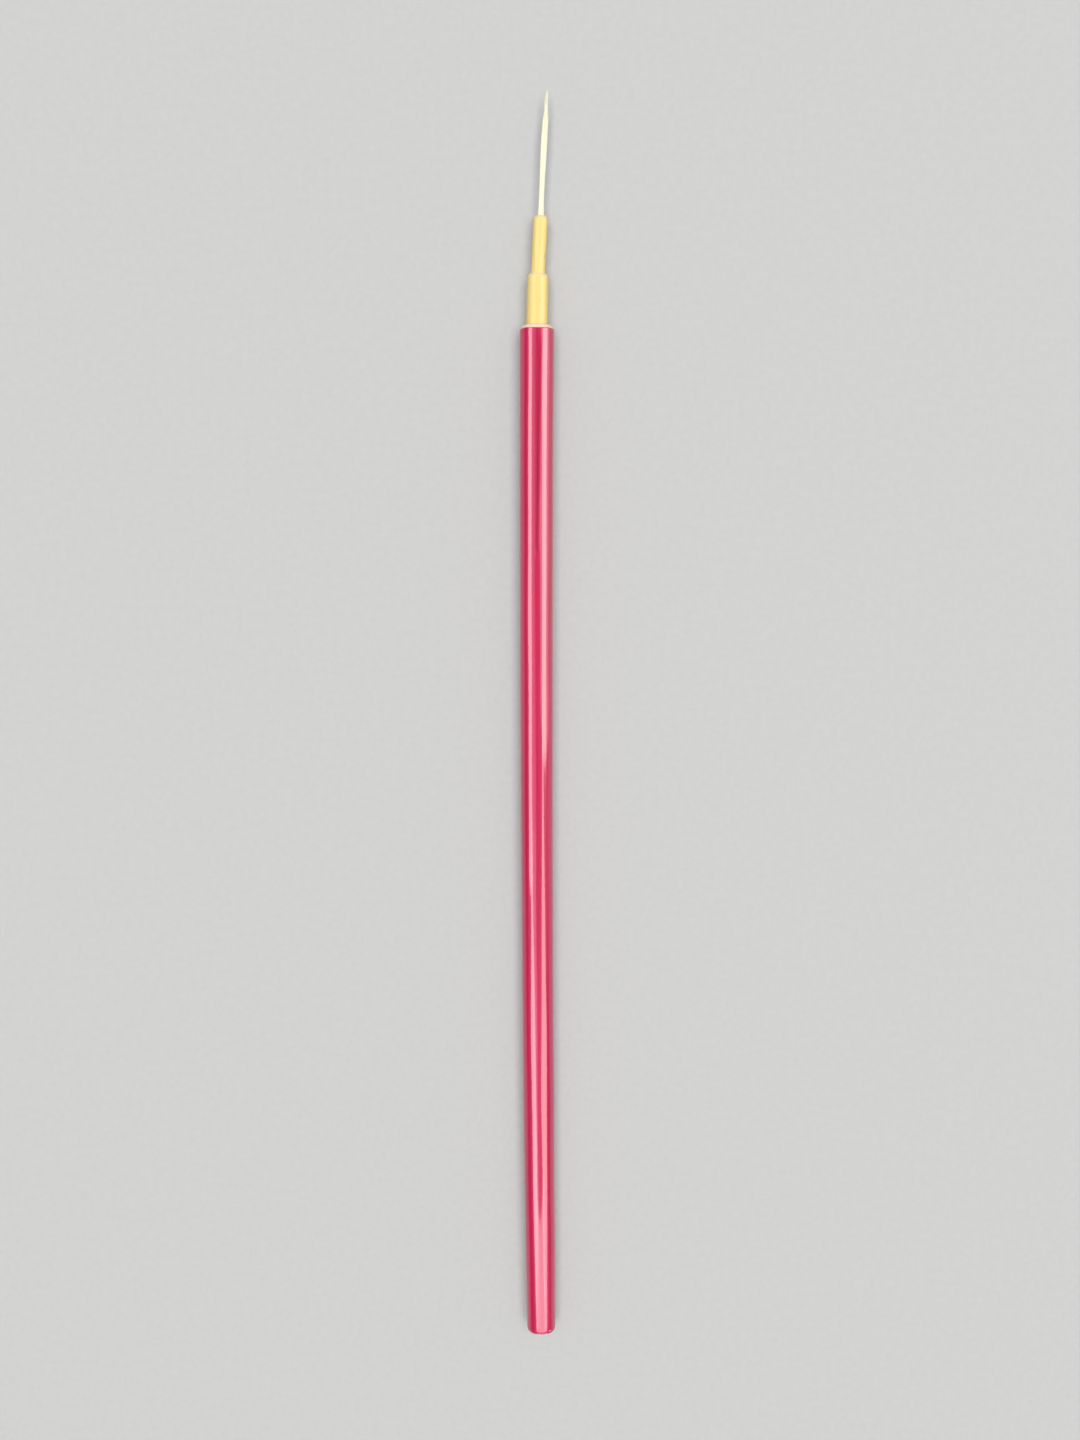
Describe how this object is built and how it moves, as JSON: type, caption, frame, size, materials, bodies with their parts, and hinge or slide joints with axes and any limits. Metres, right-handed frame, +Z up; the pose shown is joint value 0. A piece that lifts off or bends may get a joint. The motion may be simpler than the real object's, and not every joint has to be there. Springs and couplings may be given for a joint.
{
  "type": "calligraphy brush",
  "caption": "Fine line brush: a slim lacquered bamboo handle, two stepped bamboo tubes that push into it, and a long thin tuft of pale hair that bends.",
  "frame": {"origin": "on the surface that the handle lies on, under the middle of the whole brush's box", "axes": "+Y along the handle towards the tuft's tip, +Z up from the surface, +X to the right seen from above with the tip away"},
  "size_m": [0.0061, 0.215, 0.0058],
  "materials": {
    "red_lacquer": "hand-laid crimson lacquer, glossy, with faint fibre waves",
    "culm_bamboo": "pale cut bamboo, bare at the mouth",
    "tube_bamboo": "golden bare bamboo skin, satin",
    "plug_wood": "matt softwood",
    "hair": "straight pale animal hair with a soft sheen",
    "thread": "waxed fine thread",
    "resin": "hard amber resin"
  },
  "bodies": {
    "handle": {"handle_culm": "culm_bamboo", "lacquer_coat": "red_lacquer", "butt_plug": "plug_wood"},
    "ferrule": {"middle_tube": "tube_bamboo"},
    "tuft_holder": {"small_tube": "tube_bamboo", "core_hairs_root": "hair", "coat_hairs_root": "hair", "binding_thread": "thread", "root_seal": "resin", "root_glue": "resin"},
    "tuft_lower": {"core_hairs_lower": "hair", "coat_hairs_lower": "hair"},
    "tuft_waist": {"core_hairs_waist": "hair", "coat_hairs_waist": "hair"},
    "tuft_belly": {"core_hairs_belly": "hair", "coat_hairs_belly": "hair"},
    "tuft_tip": {"core_hairs_tip": "hair", "coat_hairs_tip": "hair"}
  },
  "joints": [
    {"name": "ferrule_pull", "type": "slide", "parent": "handle", "child": "ferrule", "axis": [0.0253, 0.9997, 0], "range_m": [0, 0.012]},
    {"name": "tuft_pull", "type": "slide", "parent": "ferrule", "child": "tuft_holder", "axis": [0.055, 0.9985, 0], "range_m": [0, 0.008]},
    {"name": "tuft_sway_lower", "type": "hinge", "parent": "tuft_holder", "child": "tuft_lower", "pos_m": [0.00096, 0.0888, 0.0029], "axis": [0, 0, 1], "range_deg": [-30, 30], "stiffness_Nm_per_rad": 0.00008},
    {"name": "tuft_lift_waist", "type": "hinge", "parent": "tuft_lower", "child": "tuft_waist", "pos_m": [0.00121, 0.0932, 0.0029], "axis": [0.9985, -0.055, 0], "range_deg": [-30, 30], "stiffness_Nm_per_rad": 0.00008},
    {"name": "tuft_sway_belly", "type": "hinge", "parent": "tuft_waist", "child": "tuft_belly", "pos_m": [0.00145, 0.09759, 0.0029], "axis": [0, 0, 1], "range_deg": [-30, 30], "stiffness_Nm_per_rad": 0.00006},
    {"name": "tuft_lift_tip", "type": "hinge", "parent": "tuft_belly", "child": "tuft_tip", "pos_m": [0.00169, 0.10198, 0.0029], "axis": [0.9985, -0.055, 0], "range_deg": [-30, 30], "stiffness_Nm_per_rad": 0.00004}
  ]
}
